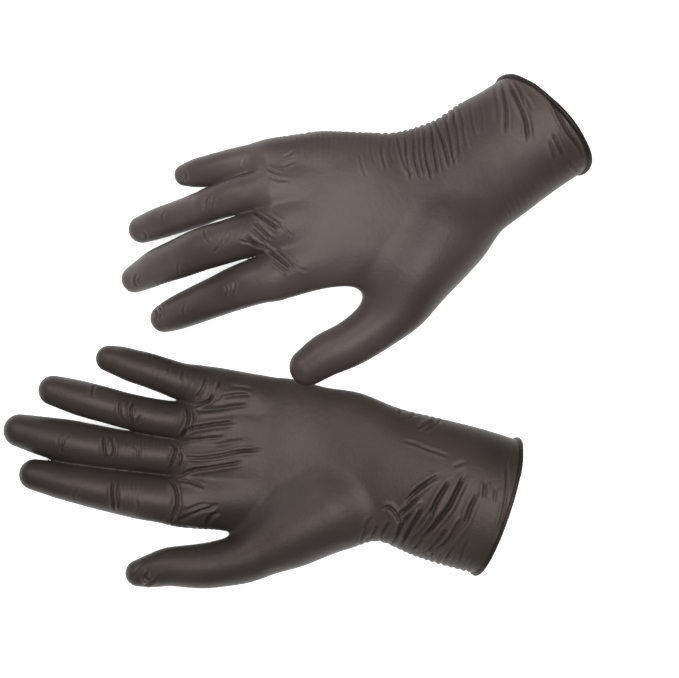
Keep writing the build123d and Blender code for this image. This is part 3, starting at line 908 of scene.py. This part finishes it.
def film_piece(name, points, quads, normal, attributes, chosen, material):
    """One piece of the film: the outer skin, the inner skin and the edges between them."""
    q = quads[chosen]
    used = np.unique(q)
    renumber = np.full(len(points), -1)
    renumber[used] = np.arange(len(used))
    q = renumber[q]
    p, n = points[used], normal[used]
    count = len(used)
    inner = p - n * FILM
    a = np.concatenate([q[:, k] for k in range(4)])
    b = np.concatenate([q[:, (k + 1) % 4] for k in range(4)])
    keys = a * count + b
    back = b * count + a
    edge = ~np.isin(keys, back)
    ea, eb = a[edge], b[edge]
    walls = np.stack([eb, ea, ea + count, eb + count], 1)
    faces = np.vstack([q, q[:, ::-1] + count, walls])
    attrs = {k: np.concatenate([v[used], v[used]]) for k, v in attributes.items()}
    return make_object(name, np.vstack([p, inner]), faces, np.vstack([n, -n]), attrs, material)


# ----------------------------------------------------------------------------
# Materials
# ----------------------------------------------------------------------------
def film_material(name, dark, light, roughness):
    """Satin nitrile: a charcoal film with painted highlight where it stands proud and painted shade in its
    creases, and a fine grain.
    """
    m = bpy.data.materials.new(name)
    m.use_nodes = True
    t = m.node_tree
    t.nodes.clear()
    out = t.nodes.new("ShaderNodeOutputMaterial")
    b = t.nodes.new("ShaderNodeBsdfPrincipled")
    t.links.new(b.outputs[0], out.inputs[0])
    b.inputs["Roughness"].default_value = roughness
    b.inputs["IOR"].default_value = 1.5
    b.inputs["Specular IOR Level"].default_value = 0.2
    b.inputs["Specular Tint"].default_value = (1.0, 0.88, 0.84, 1)
    rest = t.nodes.new("ShaderNodeAttribute")
    rest.attribute_name = "rest"
    fold = t.nodes.new("ShaderNodeAttribute")
    fold.attribute_name = "fold"
    cloud = t.nodes.new("ShaderNodeTexNoise")
    cloud.inputs["Scale"].default_value = 22.0
    cloud.inputs["Detail"].default_value = 3.0
    t.links.new(rest.outputs["Vector"], cloud.inputs["Vector"])
    grain = t.nodes.new("ShaderNodeTexNoise")
    grain.inputs["Scale"].default_value = 1500.0
    grain.inputs["Detail"].default_value = 2.0
    t.links.new(rest.outputs["Vector"], grain.inputs["Vector"])
    weave = t.nodes.new("ShaderNodeTexNoise")
    weave.inputs["Scale"].default_value = 420.0
    weave.inputs["Detail"].default_value = 2.0
    t.links.new(rest.outputs["Vector"], weave.inputs["Vector"])
    ramp = t.nodes.new("ShaderNodeValToRGB")
    ramp.color_ramp.elements[0].position = 0.25
    ramp.color_ramp.elements[0].color = dark
    ramp.color_ramp.elements[1].position = 0.78
    ramp.color_ramp.elements[1].color = light
    # painted highlight and painted shade: film that stands proud of the folds is painted lighter and film
    # down in the creases darker, on top of a slow cloud
    add = t.nodes.new("ShaderNodeMath")
    add.operation = "MULTIPLY_ADD"
    add.inputs[1].default_value = 0.28
    t.links.new(fold.outputs["Fac"], add.inputs[0])
    t.links.new(cloud.outputs["Fac"], add.inputs[2])
    t.links.new(add.outputs[0], ramp.inputs["Fac"])
    t.links.new(ramp.outputs["Color"], b.inputs["Base Color"])
    both = t.nodes.new("ShaderNodeMath")
    both.operation = "MULTIPLY_ADD"
    both.inputs[1].default_value = 1.6
    t.links.new(weave.outputs["Fac"], both.inputs[0])
    t.links.new(grain.outputs["Fac"], both.inputs[2])
    bump = t.nodes.new("ShaderNodeBump")
    bump.inputs["Strength"].default_value = 0.22
    bump.inputs["Distance"].default_value = 0.00022
    t.links.new(both.outputs[0], bump.inputs["Height"])
    t.links.new(bump.outputs["Normal"], b.inputs["Normal"])
    return m


def linear(r, g, b):
    """A colour given as it appears on a screen, 0 to 255, as Blender's linear colour."""
    return tuple(((v / 255 + 0.055) / 1.055) ** 2.4 for v in (r, g, b)) + (1.0,)


# one nitrile in a lit and a shaded copy: the left glove's colours are painted darker, as painted shade
FILM_MATERIAL = dict(
    right=film_material("charcoal nitrile, right glove, lit copy", linear(46, 40, 39), linear(72, 64, 62), 0.44),
    left=film_material("charcoal nitrile, left glove, painted shade", linear(35, 31, 29), linear(54, 48, 45), 0.45),
)
# the rolled bead is the same nitrile painted darker: painted shade in the roll
BEAD_MATERIAL = film_material("charcoal nitrile, rolled bead, painted shade", linear(22, 19, 19), linear(34, 30, 29), 0.45)

# ----------------------------------------------------------------------------
# Both gloves
# ----------------------------------------------------------------------------
for side in ("right", "left"):
    points, quads, normal, height, smooth_points, rim, mouth_at, mouth_out = build_glove(side)
    label, names = piece_labels(side, smooth_points)
    face_label = label[quads].min(axis=1)
    # the folds' height, which the film's material turns into painted highlight on ridges and painted shade
    # in creases
    fold = np.clip(height / 0.8, -1.5, 1.5)
    attributes = {"rest": points * MM, "fold": fold}
    film = FILM_MATERIAL[side]
    made = {}
    parts = [("palm_and_back", 0), ("cuff", 1)]
    for k, name in enumerate(names):
        parts += [(f"{name}_base", 2 + 2 * k), (f"{name}_tip", 3 + 2 * k)]
    for part, number in parts:
        ob = film_piece(f"film_{side}_{part}", points, quads, normal, attributes, face_label == number, film)
        made[part] = ob
        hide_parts(f"{side}_{part}")
    # the rolled bead
    line = ordered_rim(rim, mouth_at, mouth_out, 220)
    seed = 71 if side == "right" else 72
    thick = BEAD_RADIUS[side]
    wave = noise(line, 9.0, seed)

    def radius_at(k, angle, thick=thick, wave=wave):
        return thick * (1 + 0.10 * wave[k]) + 0.14 * math.cos(2 * angle + 1.3 * wave[k])

    shift = mouth_out * BEAD_SHIFT
    bead_points, bead_quads = tube(line + shift, radius_at, BEAD_SIDES)
    bead_normal = normals_of(bead_points, bead_quads)
    outward = bead_points - np.repeat(line + shift, BEAD_SIDES, axis=0)
    if (bead_normal * outward).sum() < 0:
        bead_quads = bead_quads[:, ::-1]
        bead_normal = -bead_normal
    bead = make_object(f"bead_{side}", bead_points, bead_quads, bead_normal,
                       {"rest": bead_points * MM, "fold": np.zeros(len(bead_points))}, BEAD_MATERIAL)
    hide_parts(f"{side}_cuff_bead")
    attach(bead, f"{side}_cuff_end")
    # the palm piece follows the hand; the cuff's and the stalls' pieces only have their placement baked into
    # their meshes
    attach(made["palm_and_back"], f"{side}_hand")
    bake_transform(made["cuff"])
    for name in names:
        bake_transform(made[f"{name}_base"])
        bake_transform(made[f"{name}_tip"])


# ----------------------------------------------------------------------------
# Table, light and camera
# ----------------------------------------------------------------------------
def plain_material(name, colour, roughness, glow):
    m = bpy.data.materials.new(name)
    m.use_nodes = True
    t = m.node_tree
    b = t.nodes["Principled BSDF"]
    b.inputs["Roughness"].default_value = roughness
    noise_node = t.nodes.new("ShaderNodeTexNoise")
    noise_node.inputs["Scale"].default_value = 3.0
    ramp = t.nodes.new("ShaderNodeValToRGB")
    ramp.color_ramp.elements[0].color = colour
    ramp.color_ramp.elements[1].color = tuple(min(1, c * 1.01) for c in colour[:3]) + (1,)
    t.links.new(noise_node.outputs["Fac"], ramp.inputs["Fac"])
    t.links.new(ramp.outputs["Color"], b.inputs["Base Color"])
    b.inputs["Emission Color"].default_value = (1, 1, 1, 1)
    b.inputs["Emission Strength"].default_value = glow
    return m


bpy.ops.mesh.primitive_plane_add(size=6, location=(0, 0, FLOOR_Z))
floor = bpy.context.object
floor.name = "table"
floor.data.materials.append(plain_material("pale table", (0.9, 0.9, 0.9, 1), 0.9, 0.6))
floor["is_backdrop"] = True

scene = bpy.context.scene
world = bpy.data.worlds.new("studio")
scene.world = world
world.use_nodes = True
world.node_tree.nodes["Background"].inputs["Color"].default_value = (1, 1, 1, 1)
world.node_tree.nodes["Background"].inputs["Strength"].default_value = 0.15


def area(name, where, target, width, height, power):
    data = bpy.data.lights.new(name, "AREA")
    data.shape = "RECTANGLE"
    data.size, data.size_y, data.energy = width, height, power
    ob = bpy.data.objects.new(name, data)
    ob.location = where
    ob.rotation_euler = (Vector(target) - Vector(where)).to_track_quat("-Z", "Y").to_euler()
    scene.collection.objects.link(ob)
    ob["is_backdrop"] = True


area("key", (0.02, -0.02, 1.5), (0, 0, 0), 0.8, 0.8, 27)
area("side", (-0.75, 0.55, 0.95), (0, 0, 0), 0.5, 0.5, 8)

camera_data = bpy.data.cameras.new("camera")
camera = bpy.data.objects.new("camera", camera_data)
camera_data.sensor_width = SENSOR_WIDTH
camera_data.lens = SENSOR_WIDTH * VIEW_DISTANCE / VIEW_WIDTH
camera.location = [v * MM for v in EYE]
camera.rotation_euler = (0, 0, 0)
scene.collection.objects.link(camera)
scene.camera = camera
scene.view_settings.view_transform = "Standard"

size_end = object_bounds()


def plain(value):
    if isinstance(value, dict):
        return {str(k): plain(v) for k, v in value.items()}
    if hasattr(value, "__len__") and not isinstance(value, str):
        return [plain(v) for v in value]
    return value if isinstance(value, (str, bool, int)) or value is None else float(value)


{"from_load": plain(size_start), "before_finish": plain(size_end)}
